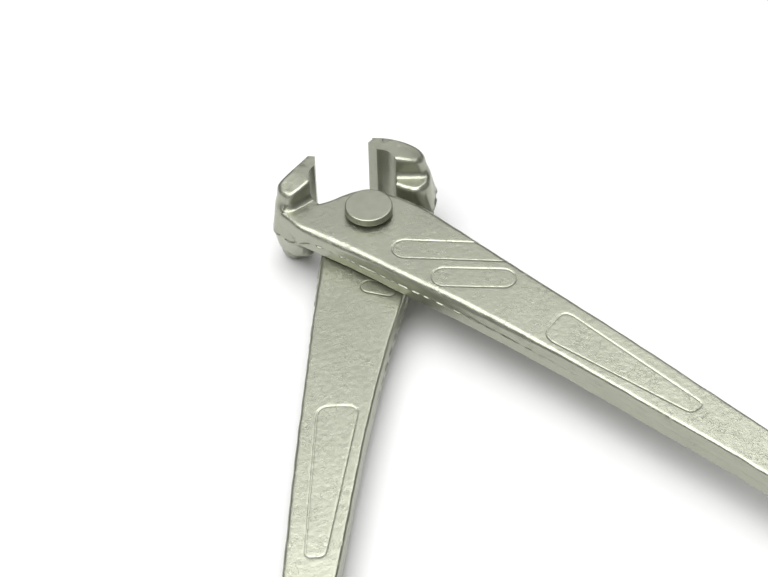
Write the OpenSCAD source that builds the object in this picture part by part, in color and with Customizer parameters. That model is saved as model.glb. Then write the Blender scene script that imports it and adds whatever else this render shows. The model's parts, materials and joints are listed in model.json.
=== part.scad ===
// End-cutting nippers with long high-leverage handles.
// Two identical forged levers, one turned over onto the other, on one rivet.
// The tool lies flat: jaws towards +Y, handles towards -Y, joint axis along +Z.
// The origin is under the middle of the tool, on the plane that the jaws rest on.

/* [Tool] */
// Length over all with the jaws shut
tool_length = 300; // [280:1:320]
// Angle between the levers as the tool lies open
opening = 39.8; // [5:0.1:60]
// Width of the cutting edges, which is also the height of the lying tool
edge_width = 25.3; // [23:0.1:28]

/* [Levers] */
// Thickness of each lever where it is a flat plate
plate_t = 7.2; // [6:0.1:8]
// Running gap between the two levers
joint_gap = 0.1; // [0.06:0.02:0.2]
// Distance from the rivet's axis to the cutting edge
edge_reach = 21.5; // [21:0.1:22]
// Radius of the rounded handle end
handle_end_r = 5.1; // [4.8:0.1:5.4]

/* [Jaws] */
// Gap between the cutting edges when the jaws are shut
edge_gap = 0.1; // [0.06:0.02:0.2]
// Radius of the crowned sides of the jaws
crown_r = 52; // [40:1:80]

/* [Rivet] */
// Diameter of the rivet's heads
rivet_head_d = 12.4; // [11:0.1:13]
// Height of the rivet's upper head
rivet_head_h = 2.8; // [2:0.1:3.5]
// Height of the rivet's lower, set head
rivet_tail_h = 2.4; // [2:0.1:3.5]
// Width of the bevel round each head
rivet_bevel = 0.4; // [0.2:0.1:0.8]
// Diameter of the step that the upper head stands on
rivet_step_d = 9.7; // [9:0.1:11]
// Height of that step
rivet_step_h = 0.7; // [0.3:0.1:1]
// Diameter of the rivet's shank
shank_d = 8; // [6:0.1:9]
// Clearance all round between the shank and the lever that turns on it
shank_clearance = 0.05; // [0.02:0.01:0.1]

/* [Hidden] */
steps = 6;
round_fn = 96;
end_fn = 24;

// A smooth curve through points, from its second point to its last but one.
function curve_at(p, u) =
    0.5 * (2 * p[1] + (p[2] - p[0]) * u
        + (2 * p[0] - 5 * p[1] + 4 * p[2] - p[3]) * pow(u, 2)
        + (3 * p[1] - p[0] - 3 * p[2] + p[3]) * pow(u, 3));
function curve(points) = [
    for (i = [1 : len(points) - 3])
        for (k = [0 : steps - 1])
            curve_at([for (j = [-1 : 2]) points[i + j]], k / steps),
    points[len(points) - 2]
];
function turned(p, angle) = [
    p[0] * cos(angle) - p[1] * sin(angle),
    p[0] * sin(angle) + p[1] * cos(angle)
];

// Each lever is drawn as it lies with the jaws shut and the rivet's axis at
// [0, 0]: its jaw is on the -X side and its handle on the +X side.
jaw_top = edge_reach + 1.5;
handle_end = jaw_top - tool_length;
handle_end_x = 16.7;
handle_last = handle_end + handle_end_r;

// Edge of the plate from the jaw over the rivet and down the handle's outside.
outer_edge = curve([
    [-9.5, 13.2], [-7.2, 12], [-3.6, 10.8], [0, 10.2], [4.2, 8.9], [7.7, 5.8], [9.4, 2.4],
    [11.2, -2], [12.2, -5.5], [12.9, -10], [13.7, -20], [14.9, -35], [16.1, -50],
    [17.7, -70], [19.3, -95], [20.9, -120], [22.5, -150], [23.4, -180], [23.6, -210],
    [23, -240], [handle_end_x + handle_end_r, handle_last], [21.4, handle_end]
]);
// Edge of the plate from the handle's end up its inside to the jaw.
inner_edge = curve([
    [11.2, handle_end], [handle_end_x - handle_end_r, handle_last], [12.7, -240],
    [13.4, -210], [13.4, -180], [12.6, -150], [10, -120], [6.1, -95], [2, -70],
    [-1.9, -50], [-5.3, -35], [-9.2, -20], [-11.7, -10], [-14, -2], [-15.5, 3],
    [-16.8, 8], [-17.2, 12.5], [-17.5, 15.5], [-17, 18]
]);
handle_arc = [
    for (k = [1 : end_fn - 1])
        [handle_end_x, handle_last] + handle_end_r * [cos(180 * k / end_fn), -sin(180 * k / end_fn)]
];
plate_outline = concat(outer_edge, handle_arc, inner_edge, [[-12, 18]]);

// The jaw's inside, from the cutting edge down its bevel and round the throat.
edge_tip = [-edge_gap / 2, edge_reach];
edge_back = [-1.1, edge_reach + 1.2];
throat = concat([edge_tip], curve([
    [-0.5, 21], [-2.4, 18.8], [-4.9, 18.1], [-6.6, 16.4], [-7.4, 14.2], [-7.2, 12], [-6.6, 10]
]));
throat_at_flare = concat([edge_tip], curve([
    [-0.5, 21], [-2.4, 18.8], [-4.9, 18.1], [-6.6, 16.4], [-6.9, 15.7], [-7, 15]
]));
// The thick part of the jaw, as tall as both plates together.
block_outline = concat(throat, curve([
    [-7, 13], [-9, 10.6], [-12, 9.2], [-14.6, 8.2], [-16.6, 8.9], [-17.3, 11.4],
    [-17.5, 15], [-16.6, 18.8], [-14, 21.2], [-10, 22.6], [-5, jaw_top], edge_back, [3, 22]
]));
// The jaw's flare, which carries the cutting edge out past the plates.
flare_outline = concat(throat_at_flare, curve([
    [-6, 16.4], [-9, 15.4], [-12.2, 15.4], [-13.7, 16.2], [-14.4, 18], [-13.4, 19.8],
    [-11, 21.3], [-7.5, 22.3], [-4, 22.7], edge_back, [3, 22]
]));

plate_low = joint_gap / 2;
plate_top = plate_low + plate_t;
half_edge = edge_width / 2;
head_low = plate_top + joint_gap;
cut = 1;

// The open tool's box is centred on the origin, with the jaws' undersides at 0.
open_ys = [for (p = concat(plate_outline, block_outline)) turned(p, opening / 2)[1]];
rivet_at = [0, -(max(open_ys) + min(open_ys)) / 2, half_edge];

module crowned_jaw() {
    intersection() {
        linear_extrude(edge_width, center = true) polygon(flare_outline);
        for_both_sides() crown();
    }
}

// What lies under one crowned side of the jaws.
module crown() {
    translate([0, 0, half_edge - crown_r]) rotate([90, 0, 0])
        cylinder(h = 4 * edge_reach, r = crown_r, center = true, $fn = round_fn);
}

module for_both_sides() {
    intersection() {
        children();
        mirror([0, 0, 1]) children();
    }
}

module forging(bore_d) {
    difference() {
        union() {
            translate([0, 0, plate_low]) linear_extrude(plate_t) polygon(plate_outline);
            linear_extrude(2 * plate_top, center = true) polygon(block_outline);
            crowned_jaw();
        }
        translate([0, 0, -cut]) cylinder(h = plate_top + 2 * cut, d = bore_d, $fn = round_fn);
    }
}

module upper_lever() {
    color("silver") translate(rivet_at) rotate([0, 0, opening / 2])
        forging(shank_d + 2 * shank_clearance);
}

module lower_lever() {
    color("silver") translate(rivet_at) rotate([0, 0, -opening / 2]) rotate([0, 180, 0])
        forging(shank_d);
}

// Half the section of a flat head with a bevelled rim, standing on its seat.
module head_section(height) {
    polygon([
        [0, 0], [rivet_head_d / 2, 0], [rivet_head_d / 2, height - rivet_bevel],
        [rivet_head_d / 2 - rivet_bevel, height], [0, height]
    ]);
}

module pivot_rivet() {
    color("gainsboro") translate(rivet_at) {
        translate([0, 0, -plate_top]) cylinder(h = plate_top + head_low, d = shank_d, $fn = round_fn);
        translate([0, 0, head_low]) cylinder(h = rivet_step_h, d = rivet_step_d, $fn = round_fn);
        translate([0, 0, head_low + rivet_step_h]) rotate_extrude($fn = round_fn)
            head_section(rivet_head_h - rivet_step_h);
        translate([0, 0, -plate_top]) mirror([0, 0, 1])
            rotate_extrude($fn = round_fn) head_section(rivet_tail_h);
    }
}

lower_lever();
upper_lever();
pivot_rivet();
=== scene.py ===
import json
import math

import bpy
import numpy as np
from mathutils import Matrix, Vector


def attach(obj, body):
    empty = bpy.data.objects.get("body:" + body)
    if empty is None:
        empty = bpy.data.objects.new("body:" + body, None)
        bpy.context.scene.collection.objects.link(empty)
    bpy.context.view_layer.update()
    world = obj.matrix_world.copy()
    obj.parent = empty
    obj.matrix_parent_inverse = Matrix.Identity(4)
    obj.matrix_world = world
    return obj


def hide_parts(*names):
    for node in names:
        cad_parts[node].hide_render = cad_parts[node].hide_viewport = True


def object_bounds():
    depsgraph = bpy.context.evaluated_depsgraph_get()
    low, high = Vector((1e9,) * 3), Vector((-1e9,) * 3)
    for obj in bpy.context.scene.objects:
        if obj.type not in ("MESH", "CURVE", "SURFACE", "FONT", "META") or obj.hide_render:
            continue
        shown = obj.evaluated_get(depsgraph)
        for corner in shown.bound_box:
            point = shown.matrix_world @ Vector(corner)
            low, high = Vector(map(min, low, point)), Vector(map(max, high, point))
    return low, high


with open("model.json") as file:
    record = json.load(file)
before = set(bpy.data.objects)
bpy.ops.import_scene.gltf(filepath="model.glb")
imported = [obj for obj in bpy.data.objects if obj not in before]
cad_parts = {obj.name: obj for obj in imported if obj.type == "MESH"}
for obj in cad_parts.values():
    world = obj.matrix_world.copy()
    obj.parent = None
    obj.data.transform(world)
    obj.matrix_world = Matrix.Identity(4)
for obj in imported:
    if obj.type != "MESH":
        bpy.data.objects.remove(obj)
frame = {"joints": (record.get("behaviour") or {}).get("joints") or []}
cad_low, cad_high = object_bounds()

# ---------------------------------------------------------------------------
# Sizes. Shapes are worked out in millimetres and made into meshes in metres.
# Each lever is shaped as it lies with the jaws shut: the rivet's axis at
# x = y = 0, the levers' meeting plane at z = 0, the jaw towards +Y on the -X
# side and the handle towards -Y on the +X side.
# ---------------------------------------------------------------------------
MM = 0.001
JOINT = frame["joints"][0]
OPENING = -JOINT["range_deg"][0]
RIVET_AT = Vector(JOINT["pos_m"])

PLATE_LOW = 0.05
PLATE_T = 7.2
PLATE_TOP = PLATE_LOW + PLATE_T
PLATE_MID = PLATE_LOW + PLATE_T / 2
HALF_EDGE = 12.65
EDGE_REACH = 21.5
EDGE_GAP = 0.1
HANDLE_END = -277.0
HANDLE_END_X = 16.7
HANDLE_END_R = 5.1

# Rounding of the plate's edges: at the joint, beside the jaw and along the handle.
TOP_ROUND = 1.5
TOP_ROUND_MORE_AT_JOINT = 0.3
TOP_ROUND_LESS_AT_JAW = 0.6
TOP_ROUND_LESS_ON_HANDLE = 0.75
UNDER_ROUND = 0.7
UNDER_ROUND_MORE_AT_JOINT = 0.7
HANDLE_DRAFT = 0.05
HANDLE_DRAFT_FROM = 2.5

# The jaw: a block as tall as both plates, with a flare past it on each side.
SHOULDERS = 7.2, 6.8  # height of the block over and under the meeting plane
SHOULDER_LEVEL = 5.5  # where the block has its shoulder outline
SHOULDER_REACH = 1.2  # how far past that level its draft goes on
BLOCK_ROUND = 1.2
FLARE_ROUND = 0.45
FLARE_CORNER_ROUND = 0.3
FLARE_FILLET = 2.0
FLARE_END_LEVEL = 11  # where the flare has its upper or lower outline
FLARE_DRAFT = 0.085
FACET_ROUND = 0.5
FACET_AT = (-13.6, 15.7)
FACET_FACES = (-0.9, -0.43)
FACET_LEVEL = 10.9
FACET_DRAFT = 0.285
THROAT_ROUND = 0.12
CROWN = 0.0095

# What the dies left: the flash on the parting line, and the outlined fields.
FLASH_H = 0.38
FLASH_W = 0.18
DIE_STEP = 0.12
RECESS = 0.06
GROOVE = 0.09
GROOVE_W = 0.18
GROOVE_IN = 0.08
FACE_RELIEF = 0.02

SEED = 7
TRIANGLES = 198000


# ---------------------------------------------------------------------------
# Outlines
# ---------------------------------------------------------------------------
def curve(points, steps=6):
    """A smooth curve through points, from the second to the last but one."""
    p = np.array(points, float)
    out = []
    for i in range(1, len(p) - 2):
        a, b, c, d = p[i - 1:i + 3]
        for u in np.arange(steps) / steps:
            out.append(0.5 * (2 * b + (c - a) * u + (2 * a - 5 * b + 4 * c - d) * u**2
                              + (3 * b - a - 3 * c + d) * u**3))
    out.append(p[-2])
    return np.array(out)


def plate_outline():
    outer = curve([
        (-9.5, 13.2), (-7.2, 12), (-3.6, 10.8), (0, 10.2), (4.2, 8.9), (7.7, 5.8),
        (9.4, 2.4), (11.2, -2), (12.2, -5.5), (12.9, -10), (13.7, -20), (14.9, -35),
        (16.1, -50), (17.7, -70), (19.3, -95), (20.9, -120), (22.5, -150), (23.4, -180),
        (23.6, -210), (23, -240), (HANDLE_END_X + HANDLE_END_R, HANDLE_END + HANDLE_END_R),
        (21.4, HANDLE_END)])
    inner = curve([
        (11.2, HANDLE_END), (HANDLE_END_X - HANDLE_END_R, HANDLE_END + HANDLE_END_R),
        (12.7, -240), (13.4, -210), (13.4, -180), (12.6, -150), (10, -120), (6.1, -95),
        (2, -70), (-1.9, -50), (-5.3, -35), (-9.2, -20), (-11.7, -10), (-14, -2),
        (-15.5, 3), (-16.8, 8), (-16.9, 12.5), (-17, 15.5), (-16.5, 18)])
    turn = np.pi * np.arange(1, 24) / 24
    end = np.stack([HANDLE_END_X + HANDLE_END_R * np.cos(turn),
                    HANDLE_END + HANDLE_END_R - HANDLE_END_R * np.sin(turn)], 1)
    return np.concatenate([outer, end, inner, [(-12, 18)]])


def jaw_outline(level):
    """The jaw's outer side at one height, with its throat not yet cut."""
    sides = {
        "parting": [(-5, 13), (-5.4, 12.1), (-6.7, 11.3), (-9, 10.1), (-12, 8.7), (-14.6, 7.3),
                    (-16.7, 7.6), (-17.4, 10.5), (-17.75, 14.4), (-17.4, 16.6), (-15.9, 19), (-13.3, 21.1),
                    (-10, 22.3), (-5, 22.9), (-1.1, 22.9), (3, 22.9)],
        "shoulder": [(-5, 13), (-5.4, 12.3), (-6.7, 11.4), (-9, 10), (-12, 8.9), (-14.2, 9.3),
                     (-16.1, 11.4), (-16.6, 14), (-16.4, 16.4), (-15.1, 19), (-13, 20.8),
                     (-10, 22), (-5, 22.7), (-1.1, 22.85), (3, 22.9)],
        "upper": [(-5, 13), (-5.4, 12.6), (-6.7, 11.8), (-9, 10.9), (-12, 9.9), (-13.8, 11),
                  (-14.1, 13.5), (-14.15, 16), (-13.95, 18.3), (-13.4, 19.6), (-12.3, 20.5),
                  (-9, 21.15), (-5, 21.75), (-1.1, 22.5), (3, 23.3)],
        "lower": [(-5, 13), (-5.4, 12.6), (-6.7, 11.8), (-9, 10.9), (-12, 9.9), (-13.8, 11),
                  (-14.4, 13.5), (-14.5, 16), (-14.2, 18.1), (-12.9, 20), (-10.3, 21.45),
                  (-7, 22.35), (-3.9, 22.8), (-1.1, 22.9), (3, 22.9)],
    }
    return np.concatenate([curve(sides[level]), [(-1.1, 22.9 if level != "upper" else 22.5),
                                                 (3, 22.9), (1.5, 19.9), (1.5, 12.1)]])


def flare_outline():
    """Where the jaw rises past the plates: everything beyond the flare's front wall."""
    front = curve([(0, 16.6), (-6, 15.6), (-7.6, 15.2), (-9.5, 15.05), (-12, 15.05), (-16, 15.3),
                   (-24, 16), (-28, 16)])
    return np.concatenate([[(4, 16.2)], front, [(-24, 27), (4, 27)]])


def throat_outline():
    """The open space between the jaws, as one jaw bounds it."""
    inside = curve([
        (-2.4, 18.8), (-2.42, 18.8), (-3.8, 18.5), (-5.1, 17.9), (-6.2, 16.8), (-6.95, 15.5),
        (-7.35, 14), (-7.2, 12), (-6.6, 10), (-6, 8)])
    tip = (-EDGE_GAP / 2, EDGE_REACH)
    return np.concatenate([[tip, (-0.95, 20.5)], inside, [(9, 10), (9, 27), (-1.3, 27), (-1.2, 22.75)]])


def pill_outline(centre, length, width, angle):
    turn = np.linspace(-np.pi / 2, np.pi / 2, 13)
    cap = np.stack([(length - width) / 2 + np.cos(turn) * width / 2, np.sin(turn) * width / 2], 1)
    shape = np.concatenate([cap, -cap])
    c, s = math.cos(math.radians(angle)), math.sin(math.radians(angle))
    return shape @ np.array([[c, s], [-s, c]]) + centre


# ---------------------------------------------------------------------------
# Distance fields
# ---------------------------------------------------------------------------
def polygon_distance(x, y, outline):
    """Signed distance to a closed outline, negative inside."""
    best = np.full(x.shape, 1e9)
    inside = np.zeros(x.shape, bool)
    for (ax, ay), (bx, by) in zip(outline, np.roll(outline, -1, 0)):
        ex, ey = bx - ax, by - ay
        length2 = ex * ex + ey * ey
        if length2 < 1e-12:
            continue
        px, py = x - ax, y - ay
        t = np.clip((px * ex + py * ey) / length2, 0, 1)
        best = np.minimum(best, (px - t * ex) ** 2 + (py - t * ey) ** 2)
        if ay != by:
            crosses = (ay > y) != (by > y)
            inside ^= crosses & (px < (y - ay) * ex / ey)
    return np.where(inside, -1, 1) * np.sqrt(best)


def both(a, b, r):
    """What two shapes share, with the edge between them rounded."""
    round_part = np.hypot(np.maximum(a + r, 0), np.maximum(b + r, 0))
    return np.minimum(np.maximum(a, b), -r) + round_part


def joined(a, b, r):
    """Two shapes as one, with a fillet between them."""
    round_part = np.hypot(np.maximum(r - a, 0), np.maximum(r - b, 0))
    return np.maximum(np.minimum(a, b), r) - round_part


def smooth(t, low, high):
    u = np.clip((t - low) / (high - low), 0, 1)
    return u * u * (3 - 2 * u)


def ripple(u, v, size, seed, waves=28):
    """An even, patternless relief of about unit height, made of crossing waves."""
    rng = np.random.default_rng(seed)
    total = np.zeros(np.broadcast(u, v).shape)
    for _ in range(waves):
        angle, phase = rng.uniform(0, 2 * np.pi, 2)
        k = 2 * np.pi / (size * rng.uniform(0.7, 1.5))
        total += np.cos(k * (u * math.cos(angle) + v * math.sin(angle)) + phase)
    return total / math.sqrt(waves / 2)


def recess(x, y, outline):
    """Depth of a shallow field with a fine groove round it."""
    d = polygon_distance(x, y, outline)
    field = 1 - smooth(d, -0.16, 0.16)
    groove = np.exp(-((d + GROOVE_IN) / GROOVE_W) ** 2)
    return RECESS * field + GROOVE * groove


def face_relief(x, y, upper):
    """How far a lever's flat face lies below its plane."""
    depth = np.zeros(x.shape)
    shapes = UPPER_FIELDS if upper else LOWER_FIELDS
    for outline in shapes:
        depth = np.maximum(depth, recess(x, y, outline))
    grows = 0.4 + 0.6 * smooth(-y, 10, 60)
    rough = ripple(x, y, 2.4, SEED + upper) * 0.0045 + ripple(x, y, 1.2, SEED + 5 + upper) * 0.001
    return depth + FACE_RELIEF + grows * rough


def rounded_panel(corners, radii):
    """A closed outline with each corner rounded to its own radius."""
    out = []
    n = len(corners)
    for i in range(n):
        here = np.array(corners[i], float)
        before, after = np.array(corners[i - 1], float), np.array(corners[(i + 1) % n], float)
        u = (before - here) / np.linalg.norm(before - here)
        v = (after - here) / np.linalg.norm(after - here)
        for t in np.linspace(0, 1, 9):
            out.append(here + radii[i] * ((1 - t) ** 2 * u + t**2 * v))
    return np.array(out)


UPPER_FIELDS = [
    pill_outline((9.15, -26.85), 37.3, 6.6, -44.7),
    pill_outline((4.1, -35.0), 20.9, 6.6, -43.6),
    rounded_panel([(2.5, -60), (12.9, -57.6), (15.5, -100), (11.1, -100)], [4.2, 3.4, 1.8, 1.8]),
]
LOWER_FIELDS = [
    pill_outline((-2.1, -19.9), 9.4, 4.4, 16),
    rounded_panel([(2.9, -58.4), (13.0, -58.4), (15.3, -101.6), (10.7, -101.6)], [3.4, 3.4, 1.8, 1.8]),
]


def lever_field(x, y, z):
    """Signed distance to one forging; x and y are [i, j, 1] and z is [1, 1, k]."""
    high = np.abs(z)
    jaw_part = smooth(y, 3, 12)
    parting = PLATE_MID * (1 - jaw_part)
    dashes = smooth(ripple(y, x * 0.3, 4, SEED + 12), -1.3, 0.6)
    fades = 1 - 0.8 * smooth(-y, 30, 70)
    flash = (0.15 + 0.85 * dashes) * fades * FLASH_H * np.exp(-((z - parting) / FLASH_W) ** 2)
    streaks = ripple(y * 0.35, z * 1.4 + x * 0.2, 1.7, SEED + 13) * (0.004 + 0.006 * smooth(-y, 5, 70))
    rolls = ripple(y * 0.06, z, 2.6, SEED + 17) * 0.03 * smooth(-y, 10, 50)
    worn = ripple(y, x, 7, SEED + 11) * 0.03 + streaks + rolls
    handle_draft = HANDLE_DRAFT * (np.abs(z - PLATE_MID) - HANDLE_DRAFT_FROM)

    top = z - PLATE_TOP + face_relief(x, y, True)
    near_rivet = 1 - smooth(np.hypot(x, y), 13, 17)
    under = PLATE_LOW - z + face_relief(x, y, False) * (1 - near_rivet)
    wall = polygon_distance(x, y, OUTLINES["plate"]) + worn - flash + handle_draft
    top_round = (TOP_ROUND + TOP_ROUND_MORE_AT_JOINT * smooth(y, -25, 0)
                 - TOP_ROUND_LESS_AT_JAW * smooth(y, 2, 10)
                 - TOP_ROUND_LESS_ON_HANDLE * smooth(-y, 35, 95))
    under_round = UNDER_ROUND + UNDER_ROUND_MORE_AT_JOINT * smooth(y, -30, -5)
    lever = both(both(wall, top, top_round), under, under_round)
    if y.max() < 6:
        return lever

    d_parting = polygon_distance(x, y, OUTLINES["jaw parting"])
    d_end = np.where(z > 0, polygon_distance(x, y, OUTLINES["jaw upper"]),
                     polygon_distance(x, y, OUTLINES["jaw lower"]))
    d_throat = polygon_distance(x, y, OUTLINES["throat"])
    rough = ripple(x, y, 3, SEED + 3) * 0.004
    d_shoulder = polygon_distance(x, y, OUTLINES["jaw shoulder"])
    ridge = (flash - DIE_STEP * smooth(-z, 0, 0.2)) * smooth(-x, 4, 9)
    draft = np.minimum(high / SHOULDER_LEVEL, SHOULDER_REACH)
    side = d_parting + (d_shoulder - d_parting) * draft - ridge
    block = both(side, high - np.where(z > 0, *SHOULDERS) + rough, BLOCK_ROUND)
    side = d_end + (d_parting - d_end) * FLARE_DRAFT * (FLARE_END_LEVEL - high)
    facet = FACET_FACES[0] * (x - FACET_AT[0]) + FACET_FACES[1] * (y - FACET_AT[1])
    facet = facet - FACET_DRAFT * (FACET_LEVEL - high)
    front = both(polygon_distance(x, y, OUTLINES["flare"]), facet, FACET_ROUND)
    sides = high - (HALF_EDGE - CROWN * x**2) + rough
    flare = both(both(side, front, FLARE_CORNER_ROUND), sides, FLARE_ROUND)
    jaw = joined(block, flare, FLARE_FILLET)
    jaw = both(jaw, -d_throat, THROAT_ROUND)
    lever = np.minimum(lever, jaw)
    return np.minimum(lever, both(joined(lever, flare, FLARE_FILLET), -d_throat, THROAT_ROUND))


def steps_of(*runs):
    """Grid lines from runs of (start, end, spacing)."""
    parts = [np.linspace(a, b, round((b - a) / step) + 1)[:-1] for a, b, step in runs]
    return np.append(np.concatenate(parts), runs[-1][1])


# ---------------------------------------------------------------------------
# Surface from a field
# ---------------------------------------------------------------------------
def surface(field, xs, ys, zs):
    """Vertices and quads of the field's zero surface, one vertex for each crossed cell."""
    grid = (xs, ys, zs)
    cells = np.array(field.shape) - 1
    inside = field < 0
    ids, points, quads = [], [], []
    for axis in range(3):
        a, b = (axis + 1) % 3, (axis + 2) % 3
        first = [slice(None)] * 3
        second = [slice(None)] * 3
        first[axis], second[axis] = slice(0, -1), slice(1, None)
        starts = inside[tuple(first)]
        at = np.argwhere(starts != inside[tuple(second)])
        after = at.copy()
        after[:, axis] += 1
        f0, f1 = field[tuple(at.T)], field[tuple(after.T)]
        t = f0 / (f0 - f1)
        point = np.stack([grid[k][at[:, k]] for k in range(3)], 1)
        point[:, axis] += t * (grid[axis][after[:, axis]] - grid[axis][at[:, axis]])
        around = []
        for da, db in ((-1, -1), (0, -1), (0, 0), (-1, 0)):
            cell = at.copy()
            cell[:, a] += da
            cell[:, b] += db
            around.append((cell[:, 0] * cells[1] + cell[:, 1]) * cells[2] + cell[:, 2])
        around = np.stack(around, 1)
        ids.append(around.ravel())
        points.append(np.repeat(point, 4, 0))
        outward = starts[tuple(at.T)]
        quads.append(np.where(outward[:, None], around, around[:, ::-1]))
    ids, points, quads = np.concatenate(ids), np.concatenate(points), np.concatenate(quads)
    used, back = np.unique(ids, return_inverse=True)
    count = np.bincount(back)
    verts = np.stack([np.bincount(back, points[:, k]) / count for k in range(3)], 1)
    return verts, np.searchsorted(used, quads)


def mesh_object(name, verts, faces, place):
    mesh = bpy.data.meshes.new(name)
    size = faces.shape[1]
    mesh.vertices.add(len(verts))
    mesh.vertices.foreach_set("co", (verts * MM).astype(np.float32).ravel())
    mesh.loops.add(faces.size)
    mesh.loops.foreach_set("vertex_index", faces.astype(np.int32).ravel())
    mesh.polygons.add(len(faces))
    mesh.polygons.foreach_set("loop_start", np.arange(0, faces.size, size, dtype=np.int32))
    mesh.update(calc_edges=True)
    mesh.validate()
    mesh.transform(place)
    obj = bpy.data.objects.new(name, mesh)
    bpy.context.scene.collection.objects.link(obj)
    return obj


def thin_out(obj, triangles):
    """Merges triangles where the surface is plain, down to a number of them."""
    now = sum(len(f.vertices) - 2 for f in obj.data.polygons)
    if now <= triangles:
        return
    fewer = obj.modifiers.new("thin_out", "DECIMATE")
    fewer.ratio = triangles / now
    depsgraph = bpy.context.evaluated_depsgraph_get()
    mesh = bpy.data.meshes.new_from_object(obj.evaluated_get(depsgraph))
    obj.modifiers.clear()
    obj.data = mesh


def even_normals(obj):
    """Shades each face by its own slope, so that the narrow faces carry the turn at an edge."""
    obj.data.shade_smooth()
    obj.data.set_sharp_from_angle(angle=math.radians(42))
    normals = obj.modifiers.new("even_normals", "WEIGHTED_NORMAL")
    normals.keep_sharp = True
    normals.mode = "FACE_AREA"
    normals.weight = 60


def lever_mesh():
    """The lever's surface, finest at the jaw and the marked fields."""
    c = 1
    xs = steps_of((-19, 3, 0.16 * c), (3, 17, 0.2 * c), (17, 24.6, 0.3 * c))
    ys = steps_of((-278, -103, 0.7 * c), (-103, -56, 0.26 * c), (-56, -46, 0.4 * c), (-46, 8, 0.21 * c),
                  (8, 24, 0.16 * c))
    zs = steps_of((-13.6, -0.6, 0.2 * c), (-0.6, 2.8, 0.15 * c), (2.8, 4.5, 0.1 * c),
                  (4.5, 7.6, 0.15 * c), (7.6, 13.6, 0.2 * c))
    field = np.full((len(xs), len(ys), len(zs)), 9, np.float32)
    plate = slice(np.searchsorted(zs, -0.6), np.searchsorted(zs, 7.6) + 1)
    rows = 40
    for j in range(0, len(ys), rows):
        x, y = np.meshgrid(xs, ys[j:j + rows], indexing="ij")
        levels = slice(None) if ys[j:j + rows].max() > 6 else plate
        field[:, j:j + rows, levels] = lever_field(x[:, :, None], y[:, :, None], zs[None, None, levels])
    verts, quads = surface(field, xs, ys, zs)
    verts[:, 2] = np.clip(verts[:, 2], -HALF_EDGE, HALF_EDGE)
    return verts, quads


# ---------------------------------------------------------------------------
# Rivet
# ---------------------------------------------------------------------------
def lathe(section, turns=128):
    """Vertices and quads of a section of (radius, height) turned about Z. Its ends lie on the axis."""
    angles = 2 * np.pi * np.arange(turns) / turns
    rings = np.array([[(r * math.cos(a), r * math.sin(a), h) for a in angles] for r, h in section])
    verts = rings.reshape(-1, 3)
    i, k = np.meshgrid(np.arange(len(section) - 1), np.arange(turns), indexing="ij")
    i, k = i.ravel(), k.ravel()
    after = (k + 1) % turns
    quads = np.stack([i * turns + k, i * turns + after, (i + 1) * turns + after, (i + 1) * turns + k], 1)
    return verts, quads


def arc(centre, radius, start, end, steps=7):
    turn = np.radians(np.linspace(start, end, steps))
    return [(centre[0] + radius * math.cos(t), centre[1] + radius * math.sin(t)) for t in turn]


def rivet_section():
    """From the bottom of the set head, round the shank, to the top of the head."""
    shank_r, gap = 4.0, 0.1
    head_low = PLATE_TOP + gap
    tail_high, tail_low = -PLATE_TOP, -PLATE_TOP - 2.4
    tail = [(0.02, tail_low + 0.02), (3, tail_low + 0.02), (5.2, tail_low + 0.05)]
    tail += arc((5.4, tail_low + 0.5), 0.45, -80, -8)
    tail += [(6.0, tail_low + 1.2), (6.1, tail_high - 0.7)]
    tail += arc((5.6, tail_high - 0.5), 0.5, 0, 90, 5)
    shank = [(shank_r + 0.2, tail_high), (shank_r, tail_high + 0.2), (shank_r, head_low - 0.2),
             (shank_r + 0.2, head_low)]
    head = [(4.8, head_low), (4.9, head_low + 0.7)] + arc((5.9, head_low + 1.15), 0.3, -88, 0, 5)
    head += [(6.2, head_low + 1.3), (6.1, head_low + 2.4)]
    head += arc((5.78, head_low + 2.48), 0.31, 5, 86, 7)
    head += [(5.5, head_low + 2.795), (3, head_low + 2.8), (0.02, head_low + 2.8)]
    return tail + shank + head


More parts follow.
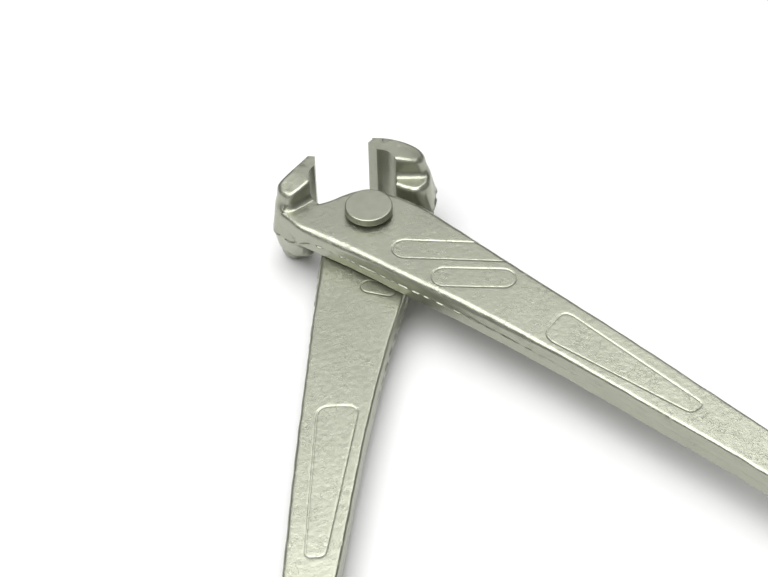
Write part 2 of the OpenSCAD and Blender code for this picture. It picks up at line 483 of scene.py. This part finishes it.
# ---------------------------------------------------------------------------
# Materials
# ---------------------------------------------------------------------------
class Nodes:
    """Short calls for making a material's nodes."""

    def __init__(self, name):
        self.material = bpy.data.materials.new(name)
        self.material.use_nodes = True
        self.tree = self.material.node_tree
        self.tree.nodes.clear()
        self.out = self.add("ShaderNodeOutputMaterial")
        self.coords = self.add("ShaderNodeTexCoord").outputs["Object"]

    def add(self, kind, **settings):
        node = self.tree.nodes.new(kind)
        for key, value in settings.items():
            setattr(node, key, value)
        return node

    def link(self, source, target):
        self.tree.links.new(source, target)

    def noise(self, scale, detail=3, roughness=0.55, distortion=0):
        node = self.add("ShaderNodeTexNoise")
        node.inputs["Scale"].default_value = scale
        node.inputs["Detail"].default_value = detail
        node.inputs["Roughness"].default_value = roughness
        node.inputs["Distortion"].default_value = distortion
        self.link(self.coords, node.inputs["Vector"])
        return node.outputs["Fac"]

    def ramp(self, source, low, high, to_low, to_high):
        node = self.add("ShaderNodeMapRange")
        node.inputs["From Min"].default_value = low
        node.inputs["From Max"].default_value = high
        node.inputs["To Min"].default_value = to_low
        node.inputs["To Max"].default_value = to_high
        self.link(source, node.inputs["Value"])
        return node.outputs["Result"]

    def math(self, operation, a, b):
        node = self.add("ShaderNodeMath", operation=operation)
        for socket, value in zip(node.inputs, (a, b)):
            if isinstance(value, (int, float)):
                socket.default_value = value
            else:
                self.link(value, socket)
        return node.outputs[0]

    def colour(self, factor, a, b):
        node = self.add("ShaderNodeMix", data_type="RGBA")
        node.inputs[6].default_value = (*a, 1)
        node.inputs[7].default_value = (*b, 1)
        self.link(factor, node.inputs[0])
        return node.outputs[2]

    def bump(self, height, distance):
        node = self.add("ShaderNodeBump")
        node.inputs["Distance"].default_value = distance
        node.inputs["Strength"].default_value = 1
        self.link(height, node.inputs["Height"])
        return node.outputs["Normal"]

    def shade(self, colour, roughness, normal, metallic):
        bsdf = self.add("ShaderNodeBsdfPrincipled")
        bsdf.inputs["Metallic"].default_value = metallic
        self.link(colour, bsdf.inputs["Base Color"])
        self.link(roughness, bsdf.inputs["Roughness"])
        self.link(normal, bsdf.inputs["Normal"])
        self.link(bsdf.outputs["BSDF"], self.out.inputs["Surface"])
        return self.material


def plated_forging():
    """Satin plating over a forged and tumbled skin, with fine wrinkles and a few nicks."""
    n = Nodes("plated_forging")
    broad = n.noise(60, 2)
    skin = n.noise(700, 3, 0.5)
    grain = n.noise(2400, 2, 0.6)
    fold = n.noise(800, 3, 0.6, distortion=0.5)
    crease = n.ramp(n.math("ABSOLUTE", n.math("SUBTRACT", fold, 0.5), 0), 0, 0.03, 1, 0)
    patches = n.ramp(n.noise(230, 2), 0.42, 0.62, 0, 1)
    creases = n.math("MULTIPLY", crease, patches)
    height = n.math("ADD", n.math("MULTIPLY", skin, 0.6), n.math("MULTIPLY", grain, 0.25))
    height = n.math("ADD", height, n.math("MULTIPLY", creases, 0.25))
    colour = n.colour(n.ramp(broad, 0.3, 0.7, 0, 1), (0.36, 0.372, 0.30), (0.40, 0.412, 0.333))
    roughness = n.ramp(skin, 0.3, 0.7, 0.28, 0.36)
    return n.shade(colour, roughness, n.bump(height, 0.00009), 0.9)


def plated_rivet():
    """The same plating on a machined, smoother rivet."""
    n = Nodes("plated_rivet")
    skin = n.noise(500, 3, 0.5)
    colour = n.colour(n.ramp(skin, 0.3, 0.7, 0, 1), (0.35, 0.362, 0.292), (0.38, 0.392, 0.317))
    roughness = n.ramp(skin, 0.3, 0.7, 0.3, 0.36)
    return n.shade(colour, roughness, n.bump(skin, 0.00002), 0.9)


def table_material():
    n = Nodes("pale_table")
    grain = n.noise(300, 2)
    colour = n.colour(grain, (0.75, 0.75, 0.75), (0.77, 0.77, 0.77))
    roughness = n.ramp(grain, 0.3, 0.7, 0.7, 0.8)
    return n.shade(colour, roughness, n.bump(grain, 0.00001), 0.0)


# ---------------------------------------------------------------------------
# The camera, the table and the light
# ---------------------------------------------------------------------------
VIEW_AZIMUTH = -19.77
VIEW_ELEVATION = 45.26
VIEW_ROLL = 1.53
LENS = 77.55
RIVET_RIGHT = -0.00373
RIVET_DOWN = -0.01425
RIVET_DEPTH = 0.4296
LIT_POINT = Vector((0.0, 0.06, 0.0))
JAW_REST = 0.006


def make_camera():
    """Looks at the tool so that the rivet stands at its place off the view's axis."""
    a, e = math.radians(VIEW_AZIMUTH), math.radians(VIEW_ELEVATION)
    back = Vector((math.sin(a) * math.cos(e), -math.cos(a) * math.cos(e), math.sin(e)))
    level_right = Vector((math.cos(a), math.sin(a), 0))
    level_up = back.cross(level_right)
    roll = math.radians(VIEW_ROLL)
    right = level_right * math.cos(roll) - level_up * math.sin(roll)
    up = level_up * math.cos(roll) + level_right * math.sin(roll)
    cam = bpy.data.objects.new("camera", bpy.data.cameras.new("camera"))
    turn = Matrix((right, up, back)).transposed()
    at = RIVET_AT - right * RIVET_RIGHT + up * RIVET_DOWN + back * RIVET_DEPTH
    cam.matrix_world = Matrix.Translation(at) @ turn.to_4x4()
    cam.data.lens = LENS
    cam.data.sensor_width = 36
    cam.data.clip_start = 0.01
    bpy.context.scene.collection.objects.link(cam)
    bpy.context.scene.camera = cam


def make_table():
    """A wide table top under the jaws, which dips to meet the lower lever's handle end."""
    jaw_y = cad_high.y - JAW_REST
    handle_y = cad_low.y
    handle_z = RIVET_AT.z - PLATE_TOP * MM
    slope = handle_z / (handle_y - jaw_y)
    half = 3.0
    corners = [(sx * half, sy * half, slope * (sy * half - jaw_y)) for sx, sy in
               ((-1, -1), (1, -1), (1, 1), (-1, 1))]
    verts = np.array(corners) / MM
    table = mesh_object("table", verts, np.array([[0, 1, 2, 3]]), Matrix.Identity(4))
    table.data.materials.append(table_material())


def make_light(name, azimuth, elevation, distance, size, radiance):
    """A square soft light, placed by its direction as the viewer sees the tool."""
    a, e = math.radians(VIEW_AZIMUTH + azimuth), math.radians(elevation)
    towards = Vector((math.sin(a) * math.cos(e), -math.cos(a) * math.cos(e), math.sin(e)))
    data = bpy.data.lights.new(name, "AREA")
    data.shape = "SQUARE"
    data.size = size
    data.energy = radiance * math.pi * size**2
    lamp = bpy.data.objects.new(name, data)
    lamp.location = LIT_POINT + towards * distance
    lamp.rotation_euler = towards.to_track_quat("Z", "Y").to_euler()
    bpy.context.scene.collection.objects.link(lamp)


def make_studio():
    world = bpy.data.worlds.new("studio")
    world.use_nodes = True
    background = world.node_tree.nodes["Background"]
    background.inputs["Color"].default_value = (1, 1, 1, 1)
    background.inputs["Strength"].default_value = 0.12
    bpy.context.scene.world = world
    make_light("overhead", -70, 78, 0.85, 1.0, 3.8)
    make_light("behind", 176, 52, 1.4, 0.95, 0.75)
    make_light("behind_right", 150, 57, 1.4, 0.5, 2.0)
    make_light("front", 0, 40, 1.4, 1.3, 0.5)
    make_light("left", -80, 30, 1.4, 1.1, 0.15)
    make_light("right", 80, 40, 1.4, 1.1, 0.2)
    view = bpy.context.scene.view_settings
    view.view_transform = "Standard"
    view.look = "None"
    view.exposure = 0.0


# ---------------------------------------------------------------------------
# Build
# ---------------------------------------------------------------------------
OUTLINES = {"plate": plate_outline(), "flare": flare_outline(), "throat": throat_outline()}
for level in ("parting", "shoulder", "upper", "lower"):
    OUTLINES["jaw " + level] = jaw_outline(level)

make_camera()
make_table()
make_studio()

to_rivet = Matrix.Translation(RIVET_AT)
half_open = math.radians(OPENING / 2)
upper_place = to_rivet @ Matrix.Rotation(half_open, 4, "Z")
lower_place = to_rivet @ Matrix.Rotation(-half_open, 4, "Z") @ Matrix.Rotation(math.pi, 4, "Y")

forging = plated_forging()
verts, quads = lever_mesh()
upper = mesh_object("upper_lever_forging", verts, quads, Matrix.Identity(4))
thin_out(upper, TRIANGLES)
lower = bpy.data.objects.new("lower_lever_forging", upper.data.copy())
bpy.context.scene.collection.objects.link(lower)
for lever, name, place, body in ((upper, "upper_lever", upper_place, "upper"),
                                 (lower, "lower_lever", lower_place, "lower")):
    lever.data.transform(place)
    even_normals(lever)
    lever.data.materials.append(forging)
    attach(lever, body)
    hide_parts(name)

rivet_verts, rivet_quads = lathe(rivet_section())
rivet = mesh_object("pivot_rivet_turned", rivet_verts, rivet_quads, to_rivet)
rivet.data.materials.append(plated_rivet())
even_normals(rivet)
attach(rivet, "lower")
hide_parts("pivot_rivet")
